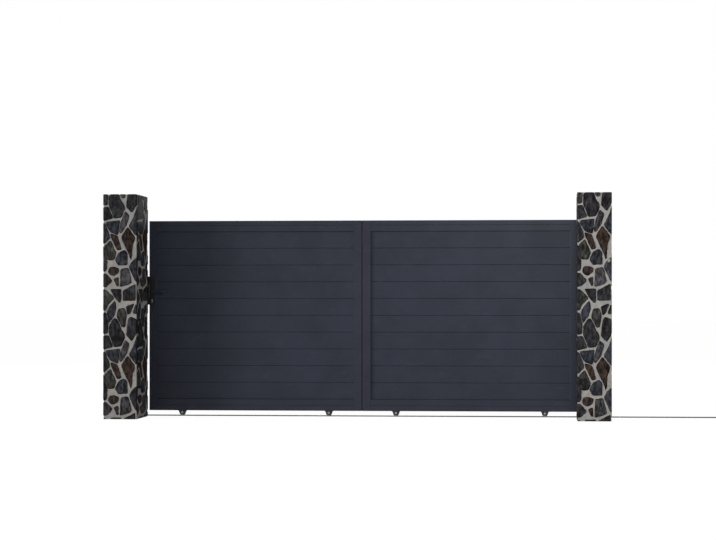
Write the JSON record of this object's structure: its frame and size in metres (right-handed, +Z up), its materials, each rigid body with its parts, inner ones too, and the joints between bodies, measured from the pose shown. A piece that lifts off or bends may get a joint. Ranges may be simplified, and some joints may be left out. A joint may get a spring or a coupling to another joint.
{
  "type": "sliding driveway gate",
  "caption": "Sliding driveway gate of horizontal slats in framed panels, on wheels along a ground rail behind stone pillars, with a lever lock and its keeper.",
  "frame": {"origin": "centre of the left pillar's base, on the ground", "axes": "+X along the rail from the left pillar to the right one, the way the leaf opens; +Y from the road into the property; +Z up"},
  "size_m": [7.953, 0.472, 2.05],
  "materials": {
    "stone": "split polygonal slabs in pale mortar",
    "powder_coat": "anthracite powder coat on aluminium, fine matt",
    "black_alloy": "black powder coat, satin",
    "black_steel": "black powder coat on steel, satin",
    "galvanised": "zinc-coated, dull",
    "wheel_steel": "turned, zinc-coated, groove run bright",
    "nickel": "satin nickel",
    "nylon": "black nylon, dull",
    "plastic": "dark grey moulded plastic",
    "rubber": "black rubber"
  },
  "bodies": {
    "posts_and_rail": {"left_pillar": "stone", "right_pillar": "stone", "ground_rail_1": "galvanised", "ground_rail_2": "galvanised", "ground_rail_3": "galvanised", "rail_stop": "galvanised", "rail_stop_buffer": "rubber", "keeper_bracket": "black_steel", "keeper_box": "black_steel", "keeper_buffers": "rubber", "guide_bracket": "galvanised", "guide_rollers": "nylon", "guide_pins": "galvanised"},
    "leaf": {"left_panel_left_stile": "powder_coat", "left_panel_right_stile": "powder_coat", "left_panel_top_rail": "powder_coat", "left_panel_bottom_rail": "powder_coat", "left_panel_slats": "powder_coat", "right_panel_left_stile": "powder_coat", "right_panel_right_stile": "powder_coat", "right_panel_top_rail": "powder_coat", "right_panel_bottom_rail": "powder_coat", "right_panel_slats": "powder_coat", "stile_caps": "plastic", "panel_joint_strip": "plastic", "tail_bar": "powder_coat", "tail_cap": "plastic", "wheel_carriers": "galvanised", "wheel_axles": "galvanised", "outer_lock_plate": "black_alloy", "inner_lock_plate": "black_alloy", "lock_cylinder": "nickel", "lock_faceplate": "nickel"},
    "lever": {"outer_lever": "black_alloy", "inner_lever": "black_alloy", "lever_spindle": "galvanised"},
    "wheel_1_body": {"wheel_1": "wheel_steel"},
    "wheel_2_body": {"wheel_2": "wheel_steel"},
    "wheel_3_body": {"wheel_3": "wheel_steel"},
    "wheel_4_body": {"wheel_4": "wheel_steel"}
  },
  "joints": [
    {"name": "leaf_slide", "type": "slide", "parent": "posts_and_rail", "child": "leaf", "axis": [1, 0, 0], "range_m": [0, 3.8]},
    {"name": "lever_turn", "type": "hinge", "parent": "leaf", "child": "lever", "pos_m": [0.179, 0.23, 1.165], "axis": [0, 1, 0], "range_deg": [0, 40], "stiffness_Nm_per_rad": 2, "springref_deg": -28.65},
    {"name": "wheel_1_roll", "type": "hinge", "parent": "leaf", "child": "wheel_1_body", "pos_m": [0.46, 0.23, 0.0333], "axis": [0, 1, 0], "continuous": true},
    {"name": "wheel_2_roll", "type": "hinge", "parent": "leaf", "child": "wheel_2_body", "pos_m": [1.847, 0.23, 0.0333], "axis": [0, 1, 0], "continuous": true},
    {"name": "wheel_3_roll", "type": "hinge", "parent": "leaf", "child": "wheel_3_body", "pos_m": [2.478, 0.23, 0.0333], "axis": [0, 1, 0], "continuous": true},
    {"name": "wheel_4_roll", "type": "hinge", "parent": "leaf", "child": "wheel_4_body", "pos_m": [3.865, 0.23, 0.0333], "axis": [0, 1, 0], "continuous": true}
  ],
  "couplings": [
    {"joint": "wheel_1_roll", "follows": "leaf_slide", "rad_per_m": 41.152},
    {"joint": "wheel_2_roll", "follows": "leaf_slide", "rad_per_m": 41.152},
    {"joint": "wheel_3_roll", "follows": "leaf_slide", "rad_per_m": 41.152},
    {"joint": "wheel_4_roll", "follows": "leaf_slide", "rad_per_m": 41.152}
  ]
}
